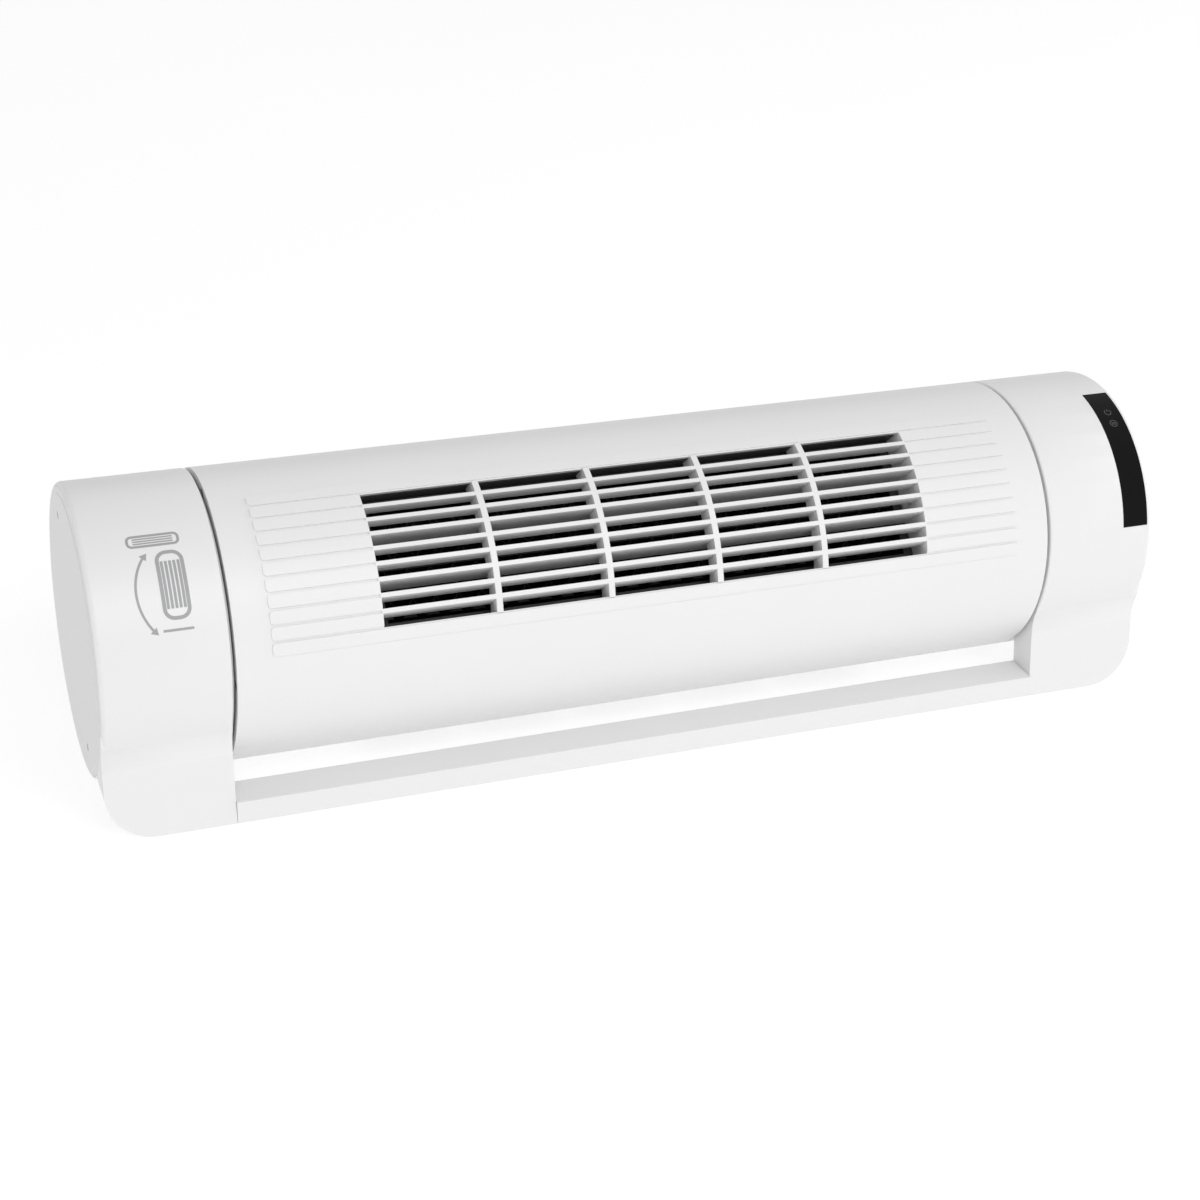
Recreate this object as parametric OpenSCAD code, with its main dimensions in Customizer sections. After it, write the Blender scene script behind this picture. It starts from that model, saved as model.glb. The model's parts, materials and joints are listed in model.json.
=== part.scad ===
// Dual-position fan heater: a swivelling drum with an outlet grille, carried between two end pods
// that stand on a front foot bar. X runs along the drum, -Y is the front and Z = 0 is the floor.

/* [Body] */
// Outside radius of the drum and of the round part of both end pods
body_r = 75; // [74:0.5:76]
// Half of the overall length
half_length = 289; // [285:1:293]
// Length of each end pod
pod_length = 64.3; // [62.5:0.1:65.5]
// Gap between the drum and each pod
seam = 2.1; // [1.5:0.1:2.5]
// Wall thickness of the mouldings
wall = 2.6; // [2.4:0.1:2.8]
// Height of the drum axis above the floor
axis_z = 80.5; // [80:0.5:82]
// Angle at which the outlet looks up from the front at rest
outlet_angle = 42; // [30:0.5:50]

/* [Feet] */
// Height of the rubber pads below the feet
pad_h = 1; // [0.5:0.25:1.5]
// How far in front of the axis the foot and the bar reach
foot_front = 73.8; // [73:0.1:75]
// Thickness of the foot plates
foot_depth = 18; // [17:0.5:19]
// Angle by which the foot plates lean back
foot_lean = 9; // [7:0.5:10]
// Radius of the hollow curve where foot and pod meet
foot_blend_r = 30; // [26:1:34]
// Radius of the outer bottom corner of each foot
foot_corner_r = 25; // [20:1:28]
// Height of the bar between the feet
bar_h = 12; // [11:0.5:13]
// Depth of the bar from front to back
bar_depth = 20; // [19:0.5:21]

/* [Grille] */
// Half of the width of the outlet opening
outlet_half = 149; // [145:1:150]
// Angle from one slat to the next
slat_pitch = 6; // [5.8:0.1:6.2]
// Thickness of a slat
slat_t = 2.2; // [1.8:0.1:2.6]
// Depth of a normal slat
slat_depth = 10; // [8:0.5:12]
// Depth of the two long slats
slat_long_depth = 20; // [16:0.5:20]
// Thickness of the upright ribs between the bays
rib_t = 3.2; // [2.6:0.1:4]
// Half length of the raised rows on the drum
row_half = 204.6; // [195:0.1:210]
// Height of the raised rows
row_raise = 0.8; // [0.4:0.1:0.9]
// Groove between two raised rows
row_groove = 1.3; // [1:0.1:1.8]

/* [Drive] */
// Radius of the drum's trunnions
trunnion_r = 14; // [13:0.5:14.5]
// Radial play of the trunnions in their bushes
trunnion_play = 0.05; // [0.03:0.01:0.1]
// Outside radius of the cross-flow impeller
fan_r = 31; // [29:0.5:31.5]

/* [Hidden] */
$fn = 96;

// Faces along X
pod_inner = half_length - pod_length;
drum_half = pod_inner - seam;
pod_wall = 3;
cap_seat = half_length - 3;
rim_x = half_length - 0.4;
edge_r = 3;
seam_r = 1.2;
guard_h = 1.3;
cap_r = body_r - 1.9;
cap_face_r = 69.6;

// Foot line: lean direction, outward normal, front bottom point and blend centre, from the axis
lean_dir = [sin(foot_lean), cos(foot_lean)];
lean_out = [-cos(foot_lean), sin(foot_lean)];
foot_toe = [-foot_front, pad_h - axis_z];
blend_from = foot_toe + foot_blend_r * lean_out;
blend_along = blend_from * lean_dir;
blend_rise = -blend_along
    - sqrt(pow(blend_along, 2) - blend_from * blend_from + pow(body_r + foot_blend_r, 2));
blend_c = blend_from + blend_rise * lean_dir;
blend_foot = foot_toe + blend_rise * lean_dir;

// Touch panel on the right pod
panel_x0 = half_length - 18.5;
panel_x1 = half_length - 3.6;
panel_low = 14.6;
panel_high = 79;
panel_mid = (panel_low + panel_high) / 2;
panel_t = 1.5;
panel_r = body_r + 0.05;
icon_angles = [66.6, 60.4];
icon_x = half_length - 10.9;
board_r = 61;

// Drum interior
slot_rows = 9;
split_y = 13;
shell_in = body_r - wall;
outlet_rise = body_r * sin(slat_pitch * slot_rows / 2);
fan_y = 18;
duct_back = -36;
plate_x = outlet_half;
plate_t = 1.6;
shaft_r = 3;

// Swing drive
gear_module = 1.25;
gear_teeth = 36;
pinion_teeth = 14;
gear_pitch_r = gear_module * gear_teeth / 2;
pinion_pitch_r = gear_module * pinion_teeth / 2;
drive_distance = gear_pitch_r + pinion_pitch_r;
drive_angle = -30;
gear_x = pod_inner + 8.5;
gear_w = 5;
motor_x = gear_x + gear_w + 2.5;
motor_shaft_r = 2.5;
bush_len = 7.5;
power_board_gap = 10.2;
bush_r = trunnion_r + 3.5;

// Rear of the left pod
gland_x = -(pod_inner + 34);
gland_z = axis_z - 35;
gland_r = 7.5;
cord_r = 3.6;
gland_face = 64;
gland_back = 57.6;
flange_r = gland_r + 2.5;
switch_angle = 25;
switch_x = -(pod_inner + 32);
switch_l = 21;
switch_w = 15;
rocker_tilt = 9;

// Screws
bar_screw_x = pod_inner + 7;
bar_cover_half = 4.5 * 49 - 1;
bar_cover_t = 1.6;
end_screw_r = body_r - wall - 3.5;
screw_pcd = 58.3;
screw_angle = 64;

// ---------- helpers ----------

// Sweeps a drawing of the Y-Z plane along X
module along_x(x0, x1) {
    translate([x0, 0, 0]) rotate([90, 0, 90]) linear_extrude(x1 - x0) children();
}

// Turns a drawing of radius against length about the X axis
module spin_x() {
    rotate([0, 90, 0]) rotate_extrude() children();
}

module at_axis() {
    translate([0, 0, axis_z]) children();
}

// Places drum parts drawn with the outlet towards -Y
module drum_pose() {
    translate([0, 0, axis_z]) rotate([-outlet_angle, 0, 0]) children();
}

module rounded_rect(w, h, r) {
    square([w - 2 * r, h], center = true);
    square([w, h - 2 * r], center = true);
    for (sx = [-1, 1], sy = [-1, 1])
        translate([sx * (w / 2 - r), sy * (h / 2 - r)]) circle(r, $fn = 32);
}

// Wedge between two angles measured up from the front, wide enough to clear the body
module front_wedge(low, high) {
    reach = 2 * body_r;
    mid = (low + high) / 2;
    polygon([[0, 0], reach * [-cos(low), sin(low)], 1.4 * reach * [-cos(mid), sin(mid)],
        reach * [-cos(high), sin(high)]]);
}

module ring2d(r_in, r_out) {
    difference() {
        circle(r_out, $fn = 180);
        circle(r_in, $fn = 180);
    }
}

function involute(base_r, roll) = base_r * [
    cos(roll) + roll * PI / 180 * sin(roll),
    sin(roll) - roll * PI / 180 * cos(roll)];
function roll_at(base_r, r) = sqrt(max(0, pow(r / base_r, 2) - 1)) * 180 / PI;
function turn(p, a) = [p[0] * cos(a) - p[1] * sin(a), p[0] * sin(a) + p[1] * cos(a)];

// One side of a tooth from root to tip, as points about the tooth's middle line
function flank(teeth) =
    let (pitch_r = gear_module * teeth / 2,
        base_r = pitch_r * cos(20),
        tip_r = pitch_r + 0.85 * gear_module,
        root_r = pitch_r - 1.2 * gear_module,
        low_r = max(base_r, root_r),
        pitch_roll = roll_at(base_r, pitch_r),
        pitch_point = involute(base_r, pitch_roll),
        half_tooth = 90 / teeth - 0.09 / pitch_r * 180 / PI,
        back = atan2(pitch_point[1], pitch_point[0]) + half_tooth)
    concat([turn([root_r, 0], -back)],
        [for (i = [0:4]) turn(involute(base_r, roll_at(base_r, low_r + (tip_r - low_r) * i / 4)), -back)]);

module gear2d(teeth, bore) {
    one = flank(teeth);
    tooth = concat(one, [for (i = [len(one) - 1:-1:0]) [one[i][0], -one[i][1]]]);
    difference() {
        polygon([for (k = [0:teeth - 1]) for (p = tooth) turn(p, 360 * k / teeth)]);
        circle(bore);
    }
}

// ---------- end pods, drawn for the right-hand end ----------

// Side outline of a foot, shrunk by an inset
module foot_profile(inset) {
    toe = foot_toe - inset * lean_out + lean_dir * (inset * (1 + sin(foot_lean)) / cos(foot_lean));
    heel = foot_toe - (foot_depth - inset) * lean_out;
    heel_low = [heel[0] + tan(foot_lean) * (foot_toe[1] + inset - heel[1]), foot_toe[1] + inset];
    meet = (body_r - inset) * blend_c / norm(blend_c);
    fade = (body_r - edge_r - 0.2 - inset) * turn(blend_c / norm(blend_c), -16);
    difference() {
        polygon([toe, blend_foot - inset * lean_out, blend_c, meet, fade, [0, 0],
            heel + 48 * lean_dir, heel_low]);
        translate(blend_c) circle(foot_blend_r + inset, $fn = 180);
    }
}

// Front outline of a foot with its rounded outer corner, shrunk by an inset
module foot_front_mask(inset) {
    corner = foot_corner_r - inset;
    outer = rim_x - inset;
    low = pad_h + inset;
    rotate([90, 0, 0]) translate([0, 0, -10]) linear_extrude(foot_front + 30) {
        translate([pod_inner, low]) square([outer - corner - pod_inner, axis_z]);
        translate([pod_inner, low + corner]) square([outer - pod_inner, axis_z]);
        translate([outer - corner, low + corner]) circle(corner);
    }
}

module foot_solid(inset, x0) {
    intersection() {
        at_axis() along_x(x0, half_length) foot_profile(inset);
        foot_front_mask(inset);
    }
}

// Low hollow block under the back of the pod that carries the rear pad
module pod_heel(inset) {
    translate([pod_inner + pod_length / 2 - 1, 33, pad_h + inset]) linear_extrude(22)
        rounded_rect(pod_length - 22 - 2 * inset, 18 - 2 * inset, 5 - inset);
}

// Half section of the pod and its cap together, with a small round at the seam and a larger one at the end
module end_outline(x0) {
    translate([0, x0 + seam_r]) square([body_r, rim_x - edge_r - x0 - seam_r]);
    translate([0, x0]) square([body_r - edge_r, rim_x - x0]);
    translate([0, x0]) square([body_r - seam_r, 2 * seam_r]);
    translate([body_r - seam_r, x0 + seam_r]) circle(seam_r, $fn = 48);
    translate([body_r - edge_r, rim_x - edge_r]) circle(edge_r, $fn = 64);
}

module pod_body() {
    difference() {
        union() {
            at_axis() spin_x() end_outline(pod_inner);
            foot_solid(0, pod_inner);
            pod_heel(0);
        }
        at_axis() along_x(pod_inner + pod_wall, half_length + 1) circle(body_r - wall, $fn = 180);
        at_axis() along_x(cap_seat, half_length + 1) circle(cap_r + 0.15, $fn = 180);
        foot_solid(wall, pod_inner + pod_wall);
        pod_heel(wall);
        at_axis() along_x(pod_inner - 1, pod_inner + 10) circle(bush_r);
        bar_socket();
        pad_recesses();
        translate([bar_screw_x, -foot_front + 10, 0]) {
            cylinder(r = 2.9, h = pad_h + 1.5);
            cylinder(r = 1.5, h = pad_h + 6);
        }
    }
    at_axis() along_x(pod_inner, pod_inner + bush_len) ring2d(bush_r, bush_r + 2.5);
    at_axis() along_x(pod_inner - guard_h, pod_inner + 1) ring2d(64, 70.5);
    cap_posts();
}

// Pillars inside the pod that take the cap screws
module cap_posts() {
    at_axis() along_x(pod_inner + pod_wall, cap_seat - 0.1)
        for (side = [0, 180]) rotate(screw_angle + side) translate([screw_pcd, 0]) difference() {
            circle(4);
            circle(1.15);
        }
}

// Hole in the foot's inner face that takes the end of the bar
module bar_socket() {
    translate([pod_inner - 1, -foot_front + 5.9, pad_h + 3])
        cube([pod_wall + 2, 8.2, 6.2]);
}

// Shallow pockets under the foot and the rear block that hold the rubber pads
module pad_recesses() {
    for (y = [-62.5, 33])
        translate([pod_inner + 26, y, 0]) linear_extrude(pad_h + 1)
            rounded_rect(24.2, 10.2, 3);
}

module end_cap() {
    at_axis() difference() {
        spin_x() {
            intersection() {
                end_outline(pod_inner);
                translate([0, cap_seat]) square([cap_r, rim_x - cap_seat]);
            }
            polygon([[0, cap_seat], [cap_face_r, cap_seat], [cap_face_r, rim_x],
                [cap_face_r - 0.4, half_length], [0, half_length]]);
        }
        for (side = [0, 180]) rotate([screw_angle + side, 0, 0]) translate([half_length, screw_pcd, 0])
            rotate([0, 90, 0]) {
                cylinder(r = 2.1, h = 4, center = true);
                cylinder(r = 1.25, h = 20, center = true);
            }
    }
}

module cap_screw() {
    translate([half_length - 2, 0, 0]) rotate([0, 90, 0]) difference() {
        union() {
            cylinder(r = 1.95, h = 1.2);
            translate([0, 0, -13]) cylinder(r = 1.1, h = 13);
        }
        for (a = [0, 90]) rotate([0, 0, a])
            translate([-1.2, -0.3, 0.5]) cube([2.4, 0.6, 2]);
    }
}

// Frame of the cable gland, Z pointing out of the back
module gland_pose() {
    translate([gland_x, 0, gland_z]) rotate([-90, 0, 0]) children();
}

// Flat seat for the cable gland, with a collar up to the round back of the pod
module gland_seat() {
    gland_pose() translate([0, 0, gland_back]) cylinder(r = flange_r + 2.5, h = gland_face - gland_back);
    intersection() {
        gland_pose() translate([0, 0, gland_back]) cylinder(r = flange_r + 2.5, h = 20);
        at_axis() along_x(-half_length, -pod_inner) circle(body_r - 0.2, $fn = 180);
    }
}

module left_pod_shell() {
    color("whitesmoke") difference() {
        union() {
            mirror([1, 0, 0]) pod_body();
            gland_seat();
        }
        gland_pose() translate([0, 0, 20]) cylinder(r = gland_r + 0.1, h = 60);
        gland_pose() translate([0, 0, gland_face]) cylinder(r = flange_r + 0.4, h = 20);
        switch_pose() translate([-(switch_l - 2) / 2, -(switch_w - 2) / 2, -20])
            cube([switch_l - 2, switch_w - 2, 30]);
        switch_pose() translate([-(switch_l + 3.4) / 2, -(switch_w + 3.4) / 2, 0.4])
            cube([switch_l + 3.4, switch_w + 3.4, 30]);
    }
    color("whitesmoke") power_board_holes() translate([0, 0, 0.8]) difference() {
        cylinder(r = 3.2, h = power_board_gap + 0.3);
        cylinder(r = 1.2, h = 8);
    }
}

module right_pod_shell() {
    color("whitesmoke") {
        difference() {
            pod_body();
            at_axis() along_x(panel_x0 - 0.15, panel_x1 + 0.15) intersection() {
                ring2d(panel_r - panel_t - 0.1, body_r + 2);
                front_wedge(panel_low - 0.1, panel_high + 0.1);
            }
            for (a = icon_angles) panel_pose() translate([0, panel_r * sin(a - panel_mid), board_r])
                cylinder(r = 3.6, h = 20);
        }
        motor_posts();
        intersection() {
            control_board_holes() difference() {
                cylinder(r = 3, h = 14);
                translate([0, 0, -1]) cylinder(r = 1.1, h = 5);
            }
            at_axis() along_x(pod_inner, half_length) circle(body_r - 2, $fn = 180);
        }
    }
}

module left_end_cap() {
    color("gainsboro") mirror([1, 0, 0]) end_cap();
}

module right_end_cap() {
    color("gainsboro") end_cap();
}

module cap_screws() {
    color("silver") for (flip = [0, 1]) mirror([flip, 0, 0]) at_axis()
        for (side = [0, 180]) rotate([screw_angle + side, 0, 0])
            translate([0, screw_pcd, 0]) cap_screw();
}

// ---------- bar, pads, bushes ----------

module front_bar() {
    color("whitesmoke") difference() {
        union() {
            translate([-pod_inner + 0.15, -foot_front, pad_h])
                cube([2 * pod_inner - 0.3, bar_depth, bar_h]);
            for (side = [-1, 1])
                translate([side * (pod_inner + 6) - 10, -foot_front + 6, pad_h + 3.1])
                    cube([20, 8, 6]);
        }
        for (k = [-4:4])
            translate([k * 49 - 22.5, -foot_front + wall, pad_h - 1])
                cube([45, bar_depth - 2 * wall, bar_h - wall + 1]);
        translate([-bar_cover_half - 0.1, -foot_front + wall - 0.1, pad_h - 1])
            cube([2 * bar_cover_half + 0.2, bar_depth - 2 * wall + 0.2, 1 + bar_cover_t + 0.05]);
        for (side = [-1, 1])
            translate([side * bar_screw_x, -foot_front + 10, 0]) cylinder(r = 1.25, h = 20);
    }
}

// Plate that closes the bar's hollows from below
module bar_cover() {
    color("whitesmoke") translate([-bar_cover_half, -foot_front + wall, pad_h])
        cube([2 * bar_cover_half, bar_depth - 2 * wall, bar_cover_t]);
}

module bar_screws() {
    color("silver") for (side = [-1, 1])
        translate([side * bar_screw_x, -foot_front + 10, pad_h + 0.2]) {
            cylinder(r = 2.7, h = 1.3);
            cylinder(r = 1.2, h = 8.5);
        }
}

module bush() {
    at_axis() difference() {
        union() {
            along_x(pod_inner - 0.8, pod_inner + bush_len) circle(bush_r - 0.05);
            along_x(pod_inner - 0.8, pod_inner) circle(bush_r + 2);
        }
        along_x(pod_inner - 2, pod_inner + bush_len + 1) circle(trunnion_r + trunnion_play);
    }
}

module left_bush() {
    color("ivory") mirror([1, 0, 0]) bush();
}

module right_bush() {
    color("ivory") bush();
}

module foot_pads() {
    color("dimgray") for (flip = [0, 1]) mirror([flip, 0, 0]) for (y = [-62.5, 33])
        translate([pod_inner + 26, y, 0]) linear_extrude(pad_h + 1) rounded_rect(24, 10, 2.9);
}

// ---------- controls in the right pod ----------

// Frame at the middle of the panel: X along the drum, Y up along the panel, Z outwards
module panel_pose() {
    at_axis() rotate([90 - panel_mid, 0, 0]) translate([icon_x, 0, 0]) children();
}

// Height of the panel's inner face above the board, at a distance up the board
function panel_gap(v) = sqrt(pow(panel_r - panel_t, 2) - v * v) - board_r;

module control_board_holes() {
    for (side = [-1, 1]) panel_pose() translate([-6, side * 28, board_r]) children();
}

module touch_panel() {
    color("black") at_axis() along_x(panel_x0, panel_x1) intersection() {
        ring2d(panel_r - panel_t, panel_r);
        front_wedge(panel_low, panel_high);
    }
}

module control_board() {
    color("darkgreen") panel_pose() translate([-2, 0, board_r - 0.8]) difference() {
        cube([14, 62, 1.6], center = true);
        for (side = [-1, 1]) translate([-4, side * 28, 0]) cylinder(r = 1.4, h = 4, center = true);
    }
}

module touch_springs() {
    color("silver") for (a = icon_angles) {
        along = panel_r * sin(a - panel_mid);
        panel_pose() translate([0, along, board_r]) {
            linear_extrude(panel_gap(along) - 0.3, twist = -360 * 5, slices = 80, $fn = 6)
                translate([2.4, 0]) circle(0.35);
            cylinder(r = 3, h = 0.4);
        }
    }
}

module display_module() {
    color("gray") panel_pose() translate([-1, -2, board_r]) translate([-5, -8, 0]) cube([10, 14, 6]);
}

module ir_receiver() {
    color("black") panel_pose() translate([-1, -22, board_r]) {
        translate([-2.5, -3, 0]) cube([5, 6, 4]);
        translate([0, 0, 4]) sphere(2.2, $fn = 32);
    }
}

module buzzer() {
    color("black") panel_pose() translate([-1, 0, board_r - 1.6 - 7.5]) difference() {
        cylinder(r = 4.6, h = 7.5);
        translate([0, 0, -1]) cylinder(r = 1, h = 3);
    }
}

// ---------- power side in the left pod ----------

// Frame at each fixing hole of the power board, Z pointing at the pod's inner wall
module power_board_holes() {
    for (y = [-40, 40], z = [-19, 35])
        translate([-(pod_inner + 14), y, axis_z + z]) rotate([0, 90, 0]) children();
}

module power_board() {
    color("darkgreen") difference() {
        translate([-(pod_inner + 14), 0, axis_z + 8]) cube([1.6, 92, 64], center = true);
        power_board_holes() cylinder(r = 1.5, h = 6, center = true);
    }
}

module board_screws() {
    color("silver") {
        power_board_holes() {
            translate([0, 0, -2.2]) cylinder(r = 2.5, h = 1.4);
            translate([0, 0, -0.8]) cylinder(r = 1.15, h = 7);
        }
        control_board_holes() {
            translate([0, 0, -3]) cylinder(r = 2.4, h = 1.4);
            translate([0, 0, -1.6]) cylinder(r = 1.05, h = 5);
        }
    }
}

module power_relays() {
    color("royalblue") for (y = [-26, -6])
        translate([-(pod_inner + 14.8 + 15.5), y - 8, axis_z + 12]) cube([15.5, 16, 20]);
}

module terminal_block() {
    color("seagreen") translate([-(pod_inner + 14.8 + 14), 7, axis_z - 20]) difference() {
        cube([14, 30, 10]);
        for (k = [0:3]) translate([-1, 3.75 + 7.5 * k, 5]) rotate([0, 90, 0]) cylinder(r = 2.2, h = 9);
    }
}

module filter_capacitor() {
    color("goldenrod") translate([-(pod_inner + 14.8 + 15), 16, axis_z + 12]) cube([15, 8, 18]);
}

// Frame on the rear of the left pod: X along the drum, Z straight out of the wall
module switch_pose() {
    at_axis() rotate([switch_angle - 90, 0, 0]) translate([switch_x, 0, body_r - 1]) children();
}

module mains_switch_housing() {
    color("black") switch_pose() difference() {
        union() {
            translate([-(switch_l + 3) / 2, -(switch_w + 3) / 2, 0.4])
                cube([switch_l + 3, switch_w + 3, 1.6]);
            translate([-(switch_l - 2.4) / 2, -(switch_w - 2.4) / 2, -16])
                cube([switch_l - 2.4, switch_w - 2.4, 17]);
        }
        translate([-(switch_l - 4) / 2, -(switch_w - 4) / 2, -7])
            cube([switch_l - 4, switch_w - 4, 20]);
        rotate([90, 0, 0]) cylinder(r = 1.25, h = switch_w - 2.6, center = true);
    }
    color("silver") switch_pose() for (k = [-1, 0, 1])
        translate([k * 6 - 0.4, -3.1, -22]) cube([0.8, 6.2, 6.5]);
}

module mains_rocker() {
    color("dimgray") switch_pose() rotate([0, rocker_tilt, 0]) {
        rotate([90, 0, 0]) linear_extrude(switch_w - 5, center = true)
            polygon([[-7.8, 3.6], [-3, -5], [3, -5], [7.8, 3.6], [0, 1.8]]);
        rotate([90, 0, 0]) cylinder(r = 1.2, h = switch_w - 3, center = true);
    }
}

module cable_gland() {
    color("lightgray") gland_pose() difference() {
        union() {
            translate([0, 0, gland_face - 16]) cylinder(r = gland_r - 0.1, h = 16);
            translate([0, 0, gland_face]) cylinder(r = flange_r, h = 3);
            translate([0, 0, gland_face + 3]) cylinder(r1 = gland_r, r2 = gland_r - 2, h = 5);
        }
        translate([0, 0, gland_face - 20]) cylinder(r = cord_r, h = 40);
    }
}

module gland_nut() {
    color("lightgray") gland_pose() translate([0, 0, gland_back - 5]) difference() {
        cylinder(r = 10, h = 5, $fn = 6);
        translate([0, 0, -1]) cylinder(r = gland_r - 0.05, h = 7);
    }
}

module tip_over_switch() {
    color("dimgray") translate([-(pod_inner + 14.8 + 12), -12, axis_z - 22]) {
        cube([12, 18, 14]);
        translate([6, 9, 14]) cylinder(r = 5, h = 4);
    }
}

// ---------- swing drive ----------

module drive_axis() {
    at_axis() rotate([drive_angle, 0, 0]) translate([0, drive_distance, 0]) children();
}

module motor_posts() {
    drive_axis() for (side = [-1, 1])
        along_x(pod_inner + pod_wall - 0.5, motor_x) translate([0, side * 17.5]) difference() {
            circle(3.4);
            circle(1.2);
        }
}

module swing_motor() {
    color("silver") drive_axis() {
        along_x(motor_x + 0.8, motor_x + 19) difference() {
            circle(14);
            circle(motor_shaft_r + 0.05);
        }
        along_x(motor_x, motor_x + 0.8) difference() {
            union() {
                circle(14);
                square([7, 35], center = true);
                for (side = [-1, 1]) translate([0, side * 17.5]) circle(3.5);
            }
            for (side = [-1, 1]) translate([0, side * 17.5]) circle(1.6);
            circle(motor_shaft_r + 0.05);
        }
    }
    color("royalblue") drive_axis() translate([motor_x + 3, 12, -7]) cube([14, 6, 14]);
}

module swing_motor_screws() {
    color("silver") drive_axis() for (side = [-1, 1])
        translate([motor_x + 0.8, 0, side * 17.5]) rotate([0, 90, 0]) {
            cylinder(r = 2.6, h = 1.6);
            translate([0, 0, -9]) cylinder(r = 1.15, h = 9);
        }
}

module swing_pinion() {
    color("ivory") drive_axis() {
        along_x(gear_x, gear_x + gear_w) rotate(180 + 180 / pinion_teeth) gear2d(pinion_teeth, 1);
        along_x(gear_x, motor_x + 16) circle(motor_shaft_r);
    }
}

module swing_gear() {
    color("ivory") at_axis() rotate([drive_angle, 0, 0]) along_x(gear_x, gear_x + gear_w)
        gear2d(gear_teeth, trunnion_r - 0.95);
}

// ---------- drum ----------

module raised_row(angle, x0, x1) {
    rotate([-angle, 0, 0]) translate([(x0 + x1) / 2, 0, 0]) intersection() {
        rotate([90, 0, 0]) translate([0, 0, body_r - 1.5]) linear_extrude(3)
            rounded_rect(x1 - x0, body_r * slat_pitch * PI / 180 - row_groove, 1.6);
        rotate([0, 90, 0]) cylinder(r = body_r + row_raise, h = 2 * row_half + 1, center = true, $fn = 180);
    }
}

module raised_rows() {
    half_rows = (slot_rows - 1) / 2;
    for (side = [-1, 1]) raised_row(side * (half_rows + 1) * slat_pitch, -row_half, row_half);
    for (k = [-half_rows:half_rows]) {
        raised_row(k * slat_pitch, outlet_half - 3, row_half);
        raised_row(k * slat_pitch, -row_half, 3 - outlet_half);
    }
}

// Side outline of a rib, whose ends run into the shell above and below the outlet
module rib_outline() {
    difference() {
        union() {
            translate([-body_r - 2, -outlet_rise]) square([body_r, 2 * outlet_rise]);
            translate([-body_r - 2, -outlet_rise - 0.5]) square([13, 2 * outlet_rise + 1]);
        }
        circle(body_r - slat_depth - 0.3, $fn = 180);
    }
}

// Slats and ribs stand parallel to the direction of the air, with their front edges on one curve
module grille_bars() {
    half_slats = slot_rows / 2 - 1;
    bay = 2 * outlet_half / 5;
    intersection() {
        union() {
            for (k = [-half_slats:half_slats]) {
                height = body_r * sin(k * slat_pitch);
                front = sqrt(pow(body_r, 2) - pow(height, 2));
                depth = abs(k) == 1.5 ? slat_long_depth : slat_depth;
                translate([-outlet_half - 0.5, -body_r - 2, height - slat_t / 2])
                    cube([2 * outlet_half + 1, body_r + 2 - front + depth, slat_t]);
            }
            for (k = [-1.5:1.5])
                along_x(k * bay - rib_t / 2, k * bay + rib_t / 2) rib_outline();
        }
        along_x(-outlet_half - 2, outlet_half + 2) circle(body_r + row_raise - 0.1, $fn = 180);
    }
}

module drum_front_shell() {
    color("white") drum_pose() {
        difference() {
            union() {
                along_x(-drum_half, drum_half) difference() {
                    ring2d(shell_in, body_r);
                    translate([split_y, -body_r - 1]) square(2 * body_r + 2);
                }
                raised_rows();
            }
            translate([-outlet_half, -body_r - 5, -outlet_rise])
                cube([2 * outlet_half, 30, 2 * outlet_rise]);
        }
        grille_bars();
        end_pillars([135, 225]);
        for (side = [-1, 1])
            translate([side * (outlet_half + wall / 2) - wall / 2, 0, 0]) intersection() {
                translate([0, -body_r, -outlet_rise - 2])
                    cube([wall, body_r + duct_back - 0.3, 2 * outlet_rise + 4]);
                along_x(0, wall) circle(shell_in + 0.5, $fn = 180);
            }
    }
}

module intake_slots() {
    for (angle = [-64:8:64], k = [-2:2])
        rotate([angle, 0, 0]) translate([k * 60 - 26, shell_in - 3, -1.8]) cube([52, 10, 3.6]);
}

module drum_rear_shell() {
    color("white") drum_pose() {
        difference() {
            along_x(-drum_half, drum_half) difference() {
                ring2d(shell_in, body_r);
                translate([split_y + 0.35 - 2 * body_r - 2, -body_r - 1]) square(2 * body_r + 2);
            }
            intake_slots();
        }
        end_pillars([45, 315]);
    }
}

// Where the screws of the drum's ends go, at the right-hand end
module end_screw_places(angles) {
    for (a = angles) rotate([a, 0, 0]) translate([drum_half - 0.2, end_screw_r, 0])
        rotate([0, 90, 0]) children();
}

// Pillars inside the drum shells that take the end screws
module end_pillars(angles) {
    for (flip = [0, 1]) mirror([flip, 0, 0]) end_screw_places(angles)
        translate([0, 0, -17]) difference() {
            cylinder(r = 4, h = 14);
            translate([0, 0, 4]) cylinder(r = 1.2, h = 12);
        }
}

// Closing disc with its hollow trunnion, drawn for the right-hand end
module drum_end(reach) {
    difference() {
        spin_x() {
            translate([trunnion_r - 4, drum_half - 3.2]) square([shell_in - 0.1 - trunnion_r + 4, 3]);
            translate([trunnion_r - 4, drum_half - 12]) square([8, 12]);
            translate([trunnion_r - 4, drum_half - 1]) square([4, reach - drum_half + 1]);
        }
        end_screw_places([45:90:315]) {
            translate([0, 0, -1.6]) cylinder(r = 2.9, h = 4);
            cylinder(r = 1.5, h = 20, center = true);
        }
    }
}

module drum_end_left() {
    color("white") drum_pose() mirror([1, 0, 0]) drum_end(pod_inner + bush_len + 1);
}

module drum_end_right() {
    color("white") drum_pose() difference() {
        drum_end(gear_x + gear_w);
        along_x(gear_x - 0.05, gear_x + gear_w + 1) ring2d(trunnion_r - 1, trunnion_r + 1);
    }
}

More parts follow.
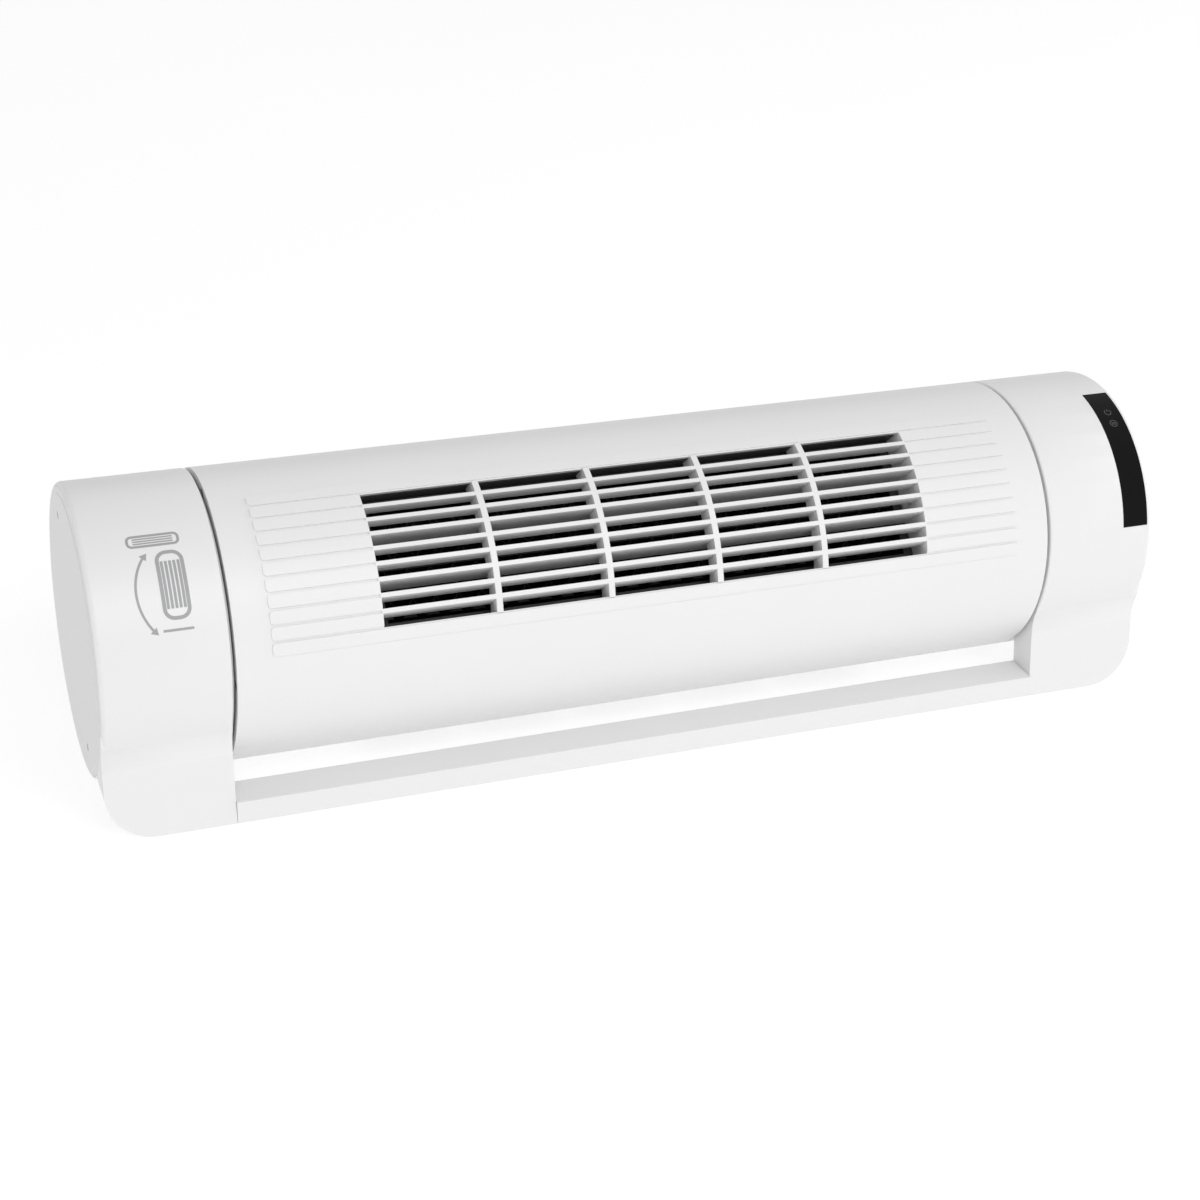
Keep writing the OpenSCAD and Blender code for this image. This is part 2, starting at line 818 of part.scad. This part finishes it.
module drum_end_screws() {
    color("silver") drum_pose() for (flip = [0, 1]) mirror([flip, 0, 0])
        end_screw_places([45:90:315]) {
            translate([0, 0, -1.5]) cylinder(r = 2.6, h = 1.3);
            translate([0, 0, -11]) cylinder(r = 1.15, h = 10);
        }
}

// ---------- heater pack ----------

module heater_frame() {
    color("darkslategray") drum_pose() difference() {
        translate([-outlet_half + 1, -53, -outlet_rise + 0.4])
            cube([2 * outlet_half - 2, 16, 2 * outlet_rise - 0.8]);
        translate([-outlet_half + 6, -60, -29.5]) cube([2 * outlet_half - 12, 40, 59]);
    }
}

// Centre heights of the bars and of the fin rows between them
bar_step = 15;
fin_h = 10;
fin_pitch = 6;

module heater_bars() {
    color("silver") drum_pose() for (k = [-1, 0, 1])
        translate([-outlet_half + 6.3, -51, k * bar_step - 2.4]) cube([2 * outlet_half - 12.6, 12, 4.8]);
}

module heater_fins() {
    half = outlet_half - 9;
    count = floor(2 * half / fin_pitch);
    upper = [for (k = [0:count]) [-half + k * fin_pitch, k % 2 == 0 ? fin_h : 0.5]];
    lower = [for (k = [count:-1:0]) [-half + k * fin_pitch, k % 2 == 0 ? fin_h - 0.5 : 0]];
    color("darkgray") drum_pose() for (row = [0:3])
        translate([0, -39, (row - 2) * bar_step + bar_step / 2 - fin_h / 2]) rotate([90, 0, 0])
            linear_extrude(12) polygon(concat(upper, lower));
}

module thermal_cutout() {
    color("tan") drum_pose() translate([60, -45, outlet_rise + plate_t]) {
        cylinder(r = 8, h = 6);
        translate([0, 0, 6]) cylinder(r = 5, h = 3);
        for (side = [-1, 1]) translate([side * 5 - 0.4, -3, 4]) cube([0.8, 6, 9]);
    }
}

module thermal_fuse() {
    color("silver") drum_pose() translate([-60, -45, outlet_rise + plate_t + 2.2]) rotate([0, 90, 0]) {
        cylinder(r = 2.2, h = 14, center = true);
        cylinder(r = 0.5, h = 44, center = true, $fn = 24);
    }
}

// ---------- air guides and fan ----------

scroll_c = [13, 4];
scroll_r = 40;

module air_scroll() {
    join = [cos(-88), sin(-88)];
    color("black") drum_pose() along_x(-outlet_half, outlet_half) {
        translate(scroll_c) intersection() {
            ring2d(scroll_r, scroll_r + plate_t);
            polygon([[0, 0], 80 * [cos(-30), sin(-30)], 110 * [cos(-61), sin(-61)],
                80 * [cos(-92), sin(-92)]]);
        }
        polygon([scroll_c + (scroll_r + 0.3) * join, [duct_back, -outlet_rise], [-62, -outlet_rise],
            [-62, -outlet_rise - plate_t], [duct_back, -outlet_rise - plate_t],
            scroll_c + (scroll_r + plate_t - 0.3) * join]);
    }
}

module air_tongue() {
    color("black") drum_pose() along_x(-outlet_half, outlet_half)
        polygon([[-62, outlet_rise], [duct_back, outlet_rise], [-9, 25], [-7, 27],
            [duct_back, outlet_rise + plate_t], [-62, outlet_rise + plate_t]]);
}

module fan_end_plates() {
    color("gray") drum_pose() for (side = [-1, 1])
        translate([side * (plate_x + plate_t / 2), 0, 0]) along_x(-plate_t / 2, plate_t / 2) difference() {
            intersection() {
                circle(shell_in - 0.15, $fn = 180);
                translate([duct_back, -70]) square([110, 140]);
            }
            translate([fan_y, 0]) circle(side > 0 ? 8.05 : 12);
            if (side < 0) for (k = [0:2]) translate([fan_y, 0]) rotate(120 * k + 30)
                translate([21, 0]) circle(1.6);
        }
}

module fan_motor() {
    color("silver") drum_pose() translate([-plate_x - plate_t, fan_y, 0]) rotate([0, -90, 0]) difference() {
        union() {
            cylinder(r = 26, h = 34);
            translate([0, 0, 34]) cylinder(r = 12, h = 5);
        }
        translate([0, 0, -1]) cylinder(r = shaft_r + 0.05, h = 36);
        for (k = [0:2]) rotate([0, 0, 120 * k + 180]) translate([21, 0, -1]) cylinder(r = 1.2, h = 9);
    }
}

module fan_motor_screws() {
    color("silver") drum_pose() translate([-plate_x, fan_y, 0]) rotate([0, -90, 0]) for (k = [0:2])
        rotate([0, 0, 120 * k + 180]) translate([21, 0, 0]) {
            translate([0, 0, -1.6]) cylinder(r = 2.6, h = 1.6);
            cylinder(r = 1.15, h = 8);
        }
}

module fan_bearing() {
    color("orange") drum_pose() translate([plate_x, fan_y, 0]) rotate([0, 90, 0]) difference() {
        union() {
            cylinder(r = 8, h = 6);
            translate([0, 0, plate_t]) cylinder(r = 11, h = 2);
        }
        translate([0, 0, -1]) cylinder(r = shaft_r + 0.05, h = 12);
    }
}

module intake_filter() {
    color("dimgray") drum_pose() along_x(-outlet_half, outlet_half) intersection() {
        ring2d(shell_in - 1.6, shell_in - 0.4);
        translate([split_y + 6, -body_r]) square([body_r, 2 * body_r]);
    }
}

module impeller() {
    span = outlet_half - 4;
    color("black") drum_pose() translate([0, fan_y, 0]) {
        along_x(-span, span) for (k = [0:23]) rotate(15 * k) translate([fan_r - 4.4, 3]) intersection() {
            ring2d(5.2, 6.2);
            translate([-1, -7]) square([8, 6]);
        }
        for (x = [-span, -span / 2, 0, span / 2, span])
            along_x(x - 0.8, x + 0.8) difference() {
                circle(fan_r);
                circle(abs(x) == span ? shaft_r + 0.03 : fan_r - 9);
            }
    }
}

module impeller_shaft() {
    color("silver") drum_pose() translate([0, fan_y, 0]) {
        along_x(-plate_x - plate_t - 30, -outlet_half + 10) circle(shaft_r);
        along_x(outlet_half - 10, plate_x + 5.5) circle(shaft_r);
    }
}

left_pod_shell();
left_end_cap();
right_pod_shell();
right_end_cap();
cap_screws();
front_bar();
bar_cover();
bar_screws();
left_bush();
right_bush();
foot_pads();
touch_panel();
control_board();
touch_springs();
display_module();
ir_receiver();
buzzer();
power_board();
power_relays();
terminal_block();
filter_capacitor();
mains_switch_housing();
cable_gland();
gland_nut();
tip_over_switch();
board_screws();
swing_motor();
swing_motor_screws();
drum_front_shell();
drum_rear_shell();
drum_end_left();
drum_end_right();
drum_end_screws();
swing_gear();
heater_frame();
heater_fins();
heater_bars();
thermal_cutout();
thermal_fuse();
air_scroll();
air_tongue();
fan_end_plates();
fan_motor();
fan_motor_screws();
fan_bearing();
intake_filter();
impeller();
impeller_shaft();
swing_pinion();
mains_rocker();
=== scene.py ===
"""Looks of the dual-position fan heater: materials, small printed marks, camera, light and floor."""

import json
import math

import bmesh
import bpy
from mathutils import Matrix, Vector


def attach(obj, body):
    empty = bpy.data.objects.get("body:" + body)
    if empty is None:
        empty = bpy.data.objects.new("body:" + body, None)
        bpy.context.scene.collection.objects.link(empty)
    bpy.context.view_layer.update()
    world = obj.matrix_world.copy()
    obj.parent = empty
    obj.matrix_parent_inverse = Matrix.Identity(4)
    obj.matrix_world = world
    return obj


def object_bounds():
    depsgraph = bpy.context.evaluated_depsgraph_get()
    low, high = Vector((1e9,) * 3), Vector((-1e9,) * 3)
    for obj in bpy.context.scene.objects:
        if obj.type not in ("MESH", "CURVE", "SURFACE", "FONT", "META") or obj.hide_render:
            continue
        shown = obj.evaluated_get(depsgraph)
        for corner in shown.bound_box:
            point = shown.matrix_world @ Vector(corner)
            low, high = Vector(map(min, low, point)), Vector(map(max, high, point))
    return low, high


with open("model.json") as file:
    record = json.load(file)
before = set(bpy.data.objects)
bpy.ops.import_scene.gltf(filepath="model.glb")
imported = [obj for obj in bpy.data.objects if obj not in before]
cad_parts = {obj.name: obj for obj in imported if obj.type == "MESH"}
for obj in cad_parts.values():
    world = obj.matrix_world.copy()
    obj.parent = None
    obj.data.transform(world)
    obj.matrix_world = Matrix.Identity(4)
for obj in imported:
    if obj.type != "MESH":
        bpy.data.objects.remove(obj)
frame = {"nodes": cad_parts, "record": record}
cad_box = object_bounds()
nodes = frame["nodes"]

MM = 0.001

# Half the heater's length, its round body's radius and the height of its axis, in millimetres
HALF_LENGTH = cad_box[1].x / MM
BODY_R = cad_box[1].y / MM
AXIS_Z = cad_box[1].z / MM - BODY_R


# ---------- camera ----------

# Azimuth, elevation and roll in degrees; target and lens in millimetres; distance in metres
CAMERA_ANGLES = (-21.807, 27.833, 2.807)
CAMERA_TARGET = (-7.36, 0.0, 57.56)
CAMERA_LENS = 68.705
CAMERA_DISTANCE = 1.24382


def look_frame(azimuth, elevation, roll):
    """Right, up and back vectors of a camera at these angles, in degrees."""
    az, el, turn = (math.radians(a) for a in (azimuth, elevation, roll))
    back = Vector((math.sin(az) * math.cos(el), -math.cos(az) * math.cos(el), math.sin(el)))
    level = Vector((math.cos(az), math.sin(az), 0.0))
    rise = back.cross(level)
    right = level * math.cos(turn) + rise * math.sin(turn)
    up = rise * math.cos(turn) - level * math.sin(turn)
    return right, up, back


def add_camera():
    right, up, back = look_frame(*CAMERA_ANGLES)
    target = Vector(CAMERA_TARGET) * MM
    camera = bpy.data.objects.new("camera", bpy.data.cameras.new("camera"))
    camera.data.lens = CAMERA_LENS
    camera.data.sensor_width = 36.0
    camera.data.clip_start = 0.01
    camera.data.clip_end = 50.0
    turn = Matrix((right, up, back)).transposed()
    camera.matrix_world = Matrix.Translation(target + back * CAMERA_DISTANCE) @ turn.to_4x4()
    bpy.context.scene.collection.objects.link(camera)
    bpy.context.scene.camera = camera


# ---------- materials ----------

GRAIN_DEPTH = 0.05 * MM


def new_material(name):
    material = bpy.data.materials.new(name)
    material.use_nodes = True
    tree = material.node_tree
    return material, tree, tree.nodes["Principled BSDF"]


def add_node(tree, kind, **values):
    node = tree.nodes.new(kind)
    for key, value in values.items():
        setattr(node, key, value)
    return node


def noise(tree, scale, detail):
    """Noise from 0 to 1 in the object's own metres; scale is features per metre."""
    place = add_node(tree, "ShaderNodeTexCoord")
    texture = add_node(tree, "ShaderNodeTexNoise")
    texture.inputs["Scale"].default_value = scale
    texture.inputs["Detail"].default_value = detail
    tree.links.new(place.outputs["Object"], texture.inputs["Vector"])
    return texture.outputs["Fac"]


def mottle(tree, shader, clouds, dark, light):
    """Base colour that drifts from dark to light with soft clouds of noise."""
    tint = add_node(tree, "ShaderNodeMix", data_type="RGBA")
    tint.inputs["A"].default_value = (*dark, 1.0)
    tint.inputs["B"].default_value = (*light, 1.0)
    tree.links.new(clouds, tint.inputs["Factor"])
    tree.links.new(tint.outputs["Result"], shader.inputs["Base Color"])


def remap(tree, source, low, high):
    """Stretches the middle of a noise, 0.3 to 0.7, to the range low to high."""
    ramp = add_node(tree, "ShaderNodeMapRange")
    ramp.inputs["From Min"].default_value = 0.3
    ramp.inputs["From Max"].default_value = 0.7
    ramp.inputs["To Min"].default_value = low
    ramp.inputs["To Max"].default_value = high
    tree.links.new(source, ramp.inputs["Value"])
    return ramp.outputs["Result"]


def surface(name, color, rough, vary=0.02, metal=0.0, grain=900.0, bump=0.03, shine=0.5):
    """Plastic, metal or rubber: mottled colour, uneven gloss and a fine grain."""
    material, tree, shader = new_material(name)
    shader.inputs["Metallic"].default_value = metal
    shader.inputs["Specular IOR Level"].default_value = shine
    dark = [c * (1 - vary) for c in color]
    light = [min(1.0, c * (1 + vary)) for c in color]
    mottle(tree, shader, noise(tree, 14.0, 3.0), dark, light)
    fine = noise(tree, grain, 4.0)
    gloss = remap(tree, fine, rough * 0.88, min(1.0, rough * 1.12))
    tree.links.new(gloss, shader.inputs["Roughness"])
    relief = add_node(tree, "ShaderNodeBump")
    relief.inputs["Strength"].default_value = bump
    relief.inputs["Distance"].default_value = GRAIN_DEPTH
    tree.links.new(fine, relief.inputs["Height"])
    tree.links.new(relief.outputs["Normal"], shader.inputs["Normal"])
    return material


MATERIALS = {
    "white_plastic": surface("white_abs", (0.78, 0.78, 0.78), 0.42, 0.012, bump=0.03, shine=0.4),
    "drum_plastic": surface("drum_abs", (0.785, 0.785, 0.785), 0.42, 0.012, bump=0.03, shine=0.4),
    # The caps' base colour is darker than the white body: painted shade for the end faces, which turn away
    # from the front light.
    "cap_plastic": surface("cap_abs_painted_shade", (0.72, 0.72, 0.72), 0.5, 0.012, bump=0.06),
    "screw_steel": surface("zinc_steel", (0.42, 0.42, 0.43), 0.35, 0.08, 1.0, 2500.0, 0.1),
    "spring_steel": surface("spring_wire", (0.5, 0.5, 0.51), 0.3, 0.06, 1.0, 3000.0, 0.1),
    "bush_nylon": surface("bush_acetal", (0.74, 0.71, 0.63), 0.45, 0.03, bump=0.1),
    "pad_rubber": surface("foot_rubber", (0.02, 0.02, 0.02), 0.8, 0.2, grain=1800.0, bump=0.4),
    "panel_black": surface("panel_acrylic", (0.003, 0.003, 0.0033), 0.12, 0.2, bump=0.01, shine=0.2),
    "board_green": surface("solder_mask", (0.015, 0.11, 0.04), 0.35, 0.12, bump=0.1),
    "display_black": surface("display_plastic", (0.02, 0.02, 0.022), 0.4, 0.2, bump=0.1),
    "relay_blue": surface("relay_case", (0.02, 0.08, 0.36), 0.3, 0.05, bump=0.1),
    "terminal_nylon": surface("terminal_case", (0.05, 0.22, 0.1), 0.45, 0.05, bump=0.1),
    "capacitor_yellow": surface("capacitor_case", (0.55, 0.36, 0.03), 0.4, 0.05, bump=0.1),
    "switch_black": surface("switch_case", (0.015, 0.015, 0.015), 0.42, 0.2, bump=0.12),
    "gland_nylon": surface("gland_nylon", (0.6, 0.6, 0.6), 0.42, 0.03, bump=0.12),
    "motor_steel": surface("motor_can", (0.38, 0.38, 0.4), 0.32, 0.06, 1.0, 1600.0, 0.1),
    "gear_nylon": surface("gear_acetal", (0.72, 0.69, 0.61), 0.4, 0.03, bump=0.1),
    "heater_plastic": surface("heater_frame", (0.008, 0.008, 0.0085), 0.5, 0.2, bump=0.2),
    # Aluminium fins and tubes are coloured near black and not metallic: painted shade, so the heater's
    # inside reads dark through the slots.
    "fin_aluminium": surface("fins_painted_shade", (0.012, 0.012, 0.0125), 0.7, 0.2, 0.0, 1500.0, 0.2, shine=0.2),
    "bar_aluminium": surface("tubes_painted_shade", (0.015, 0.015, 0.0155), 0.6, 0.2, 0.0, 1500.0, 0.2, shine=0.2),
    "cutout_phenolic": surface("phenolic", (0.2, 0.1, 0.04), 0.5, 0.1, bump=0.2),
    "fuse_steel": surface("fuse_case", (0.5, 0.5, 0.5), 0.3, 0.06, 1.0, 2000.0, 0.1),
    "guide_plastic": surface("guide_plastic", (0.06, 0.06, 0.062), 0.45, 0.1, bump=0.15),
    "plate_steel": surface("galvanised", (0.3, 0.3, 0.31), 0.45, 0.15, 1.0, 200.0, 0.1),
    "bearing_brass": surface("sintered_bronze", (0.5, 0.33, 0.12), 0.4, 0.08, 1.0, 2500.0, 0.2),
    "filter_mesh": surface("filter_mesh", (0.03, 0.03, 0.03), 0.7, 0.2, grain=2500.0, bump=0.5),
    "impeller_plastic": surface("impeller_plastic", (0.012, 0.012, 0.012), 0.4, 0.2, bump=0.15),
    "shaft_steel": surface("ground_shaft", (0.55, 0.55, 0.56), 0.22, 0.04, 1.0, 2500.0, 0.05),
    "rocker_plastic": surface("rocker_plastic", (0.012, 0.012, 0.012), 0.25, 0.2, bump=0.06),
}


def paint_cad():
    """Gives every CAD node its procedural material."""
    for part in frame["record"]["subparts"]:
        mesh = nodes[part["node"]].data
        mesh.materials.clear()
        mesh.materials.append(MATERIALS[part["material_slot"]])


# ---------- printed marks ----------

def on_pod(x, arc, lift):
    """A point on a pod's round surface: x along the drum and arc up from the front, both in millimetres."""
    angle = arc / BODY_R
    r = BODY_R + lift
    return Vector((x, -r * math.cos(angle), AXIS_Z + r * math.sin(angle))) * MM


def arc_at(degrees):
    return math.radians(degrees) * BODY_R


def stroke(path, width, closed=False):
    """Quads, in flat millimetres, of a line of this width along a path."""
    quads = []
    count = len(path)
    steps = range(count if closed else count - 1)

    def side(i):
        before = path[(i - 1) % count] if closed or i > 0 else path[i]
        after = path[(i + 1) % count] if closed or i < count - 1 else path[i]
        dx, dy = after[0] - before[0], after[1] - before[1]
        size = math.hypot(dx, dy)
        nx, ny = -dy / size * width / 2, dx / size * width / 2
        x, y = path[i]
        return (x + nx, y + ny), (x - nx, y - ny)

    for i in steps:
        a, b = side(i)
        c, d = side((i + 1) % count)
        quads.append((a, b, d, c))
    return quads


def arc_path(cx, cy, r, start, end, steps=28):
    turns = [math.radians(start + (end - start) * i / steps) for i in range(steps + 1)]
    return [(cx + r * math.cos(t), cy + r * math.sin(t)) for t in turns]


def capsule(cx, cy, w, h, r, steps=6):
    """Outline of a rounded rectangle as a closed path, with points along its straight sides too."""
    path = []
    for sx, sy, start in ((1, 1, 0), (-1, 1, 90), (-1, -1, 180), (1, -1, 270)):
        x, y = cx + sx * (w / 2 - r), cy + sy * (h / 2 - r)
        corner = arc_path(x, y, r, start, start + 90, steps)
        if path:
            path += line_path(*path[-1], *corner[0])[1:-1]
        path += corner
    path += line_path(*path[-1], *path[0])[1:-1]
    return path


def line_path(x0, y0, x1, y1, steps=12):
    return [(x0 + (x1 - x0) * i / steps, y0 + (y1 - y0) * i / steps) for i in range(steps + 1)]


def arrow_head(x, y, heading, size):
    """One triangle that points along heading, as a list of one face."""
    t = math.radians(heading)
    half = size * 0.6
    tip = (x + size * math.cos(t), y + size * math.sin(t))
    left = (x - half * math.sin(t), y + half * math.cos(t))
    right = (x + half * math.sin(t), y - half * math.cos(t))
    return [(tip, left, right)]


def print_on_pod(name, faces, lift, thick, material):
    """Thin raised ink on the round surface of a pod, from flat faces."""
    mesh = bpy.data.meshes.new(name)
    bm = bmesh.new()
    for face in faces:
        top = [bm.verts.new(on_pod(x, y, lift + thick)) for x, y in face]
        low = [bm.verts.new(on_pod(x, y, lift)) for x, y in face]
        bm.faces.new(top)
        bm.faces.new(low[::-1])
        for i in range(len(face)):
            j = (i + 1) % len(face)
            bm.faces.new((top[j], top[i], low[i], low[j]))
    bmesh.ops.recalc_face_normals(bm, faces=bm.faces)
    bm.to_mesh(mesh)
    bm.free()
    mesh.materials.append(material)
    obj = bpy.data.objects.new(name, mesh)
    bpy.context.scene.collection.objects.link(obj)
    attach(obj, "frame")
    return obj


def lying_heater(left, right):
    """A long capsule with three lines along it."""
    low, high = arc_at(56.6), arc_at(62.0)
    middle = (low + high) / 2
    line = 1.3
    outline = capsule((left + right) / 2, middle, right - left - line, high - low - line, 2.2)
    faces = stroke(outline, line, True)
    for k in (-1, 0, 1):
        y = middle + k * 1.3
        faces += stroke(line_path(left + 3.2, y, right - 3.2, y, 4), 0.75)
    return faces


def standing_heater(right, width):
    """A tall capsule with five upright lines in it."""
    low, high = arc_at(28.0), arc_at(54.4)
    line = 1.8
    middle = right - width / 2
    outline = capsule(middle, (low + high) / 2, width - line, high - low - line, 4.6)
    faces = stroke(outline, line, True)
    for k in (-2, -1, 0, 1, 2):
        x = middle + k * 2.0
        faces += stroke(line_path(x, low + 5.5, x, high - 5.5, 24), 1.35)
    return faces


def turn_arrow(left):
    """A bend with an arrow head at each end."""
    bend_r = 30.0
    head = 3.4
    bend = arc_path(left + 0.6 + bend_r, arc_at(38.6), bend_r, 144, 216, 30)
    return stroke(bend, 1.2) + arrow_head(*bend[0], 48, head) + arrow_head(*bend[-1], 312, head)


def add_orientation_mark():
    """The heater lying, the heater standing on a floor line, and a curved arrow between them."""
    ink = surface("grey_ink", (0.35, 0.35, 0.36), 0.5, 0.03, bump=0.1)
    left = 22.6 - HALF_LENGTH
    right = left + 25.5
    stand_w = 13.6
    floor_y = arc_at(24.4)
    faces = lying_heater(left, right)
    faces += standing_heater(right, stand_w)
    faces += stroke(line_path(right - stand_w - 1.0, floor_y, right, floor_y, 6), 1.2)
    faces += turn_arrow(left)
    print_on_pod("orientation_mark", faces, 0.01, 0.05, ink)


def power_mark(x, y):
    """An open ring with a short upright line in its gap."""
    line = 0.45
    ring = stroke(arc_path(x, y, 1.9, 125, 415, 30), line)
    return ring + stroke(line_path(x, y + 0.3, x, y + 2.3, 4), line)


def mode_mark(x, y):
    """A ring round three upright lines."""
    line = 0.4
    faces = stroke(arc_path(x, y, 2.1, 0, 354, 36), line, True)
    for k in (-1, 0, 1):
        bar_x = x + k * 0.85
        faces += stroke(line_path(bar_x, y - 1.0, bar_x, y + 1.0, 4), line)
    return faces


def add_touch_marks():
    """Power mark and mode mark printed on the touch panel."""
    ink = surface("dim_ink", (0.075, 0.075, 0.077), 0.5, 0.03, bump=0.1)
    x = HALF_LENGTH - 10.9
    power = power_mark(x, arc_at(66.6))
    mode = mode_mark(x, arc_at(60.4))
    print_on_pod("touch_power_mark", power, 0.06, 0.03, ink)
    print_on_pod("touch_mode_mark", mode, 0.06, 0.03, ink)


# ---------- softened edges ----------

def soften(names, width):
    """Rounds the sharp moulded edges of CAD nodes by this width in millimetres."""
    for name in names:
        weld = nodes[name].modifiers.new("weld", "WELD")
        weld.merge_threshold = 0.01 * MM
        bevel = nodes[name].modifiers.new("edge_round", "BEVEL")
        bevel.width = width * MM
        bevel.segments = 2
        bevel.limit_method = "ANGLE"
        bevel.angle_limit = math.radians(35.0)
        bevel.harden_normals = True


# ---------- light and floor ----------

# Each softbox's place and size in metres and its power in watts; all aim at the heater's middle
SOFTBOXES = {
    "front_softbox": ((0.0, -2.0, 2.0), (2.4, 1.2), 33.4),
    "strip_softbox": ((0.95, -2.4, 0.6), (0.5, 0.8), 3.4),
    "right_softbox": ((2.6, 0.0, 0.8), (1.6, 1.2), 20.3),
    "left_softbox": ((-2.6, 0.2, 0.8), (1.6, 1.2), 5.3),
    "back_softbox": ((0.0, 2.0, 2.0), (2.4, 1.2), 4.2),
}
AIM = Vector((0.0, 0.0, 0.08))


def add_softbox(name, place, size, power):
    light = bpy.data.lights.new(name, "AREA")
    light.shape = "RECTANGLE"
    light.size, light.size_y = size
    light.energy = power
    obj = bpy.data.objects.new(name, light)
    obj.location = place
    obj.rotation_mode = "QUATERNION"
    obj.rotation_quaternion = (AIM - Vector(place)).to_track_quat("-Z", "Y")
    bpy.context.scene.collection.objects.link(obj)


def add_sky():
    world = bpy.data.worlds.new("studio")
    world.use_nodes = True
    sky = world.node_tree.nodes["Background"]
    sky.inputs["Color"].default_value = (1.0, 1.0, 1.0, 1.0)
    sky.inputs["Strength"].default_value = 0.5
    bpy.context.scene.world = world


def add_floor():
    """A wide sheet of pale paper just below the pads, glowing a little as if lit from all round."""
    mesh = bpy.data.meshes.new("floor")
    bm = bmesh.new()
    bmesh.ops.create_grid(bm, x_segments=8, y_segments=8, size=20.0)
    bm.to_mesh(mesh)
    bm.free()
    material, tree, shader = new_material("floor_paper")
    mottle(tree, shader, noise(tree, 1.2, 2.0), (0.34, 0.34, 0.34), (0.36, 0.36, 0.36))
    shader.inputs["Roughness"].default_value = 0.9
    shader.inputs["Emission Color"].default_value = (1.0, 1.0, 1.0, 1.0)
    shader.inputs["Emission Strength"].default_value = 0.7
    mesh.materials.append(material)
    floor = bpy.data.objects.new("floor", mesh)
    floor.location = (0.0, 0.0, -0.5 * MM)
    bpy.context.scene.collection.objects.link(floor)


def add_studio():
    for name, (place, size, power) in SOFTBOXES.items():
        add_softbox(name, place, size, power)
    add_sky()
    add_floor()
    bpy.context.scene.view_settings.view_transform = "Standard"


add_camera()
paint_cad()
soften(("left_pod_shell", "right_pod_shell", "front_bar"), 0.4)
add_orientation_mark()
add_touch_marks()
add_studio()
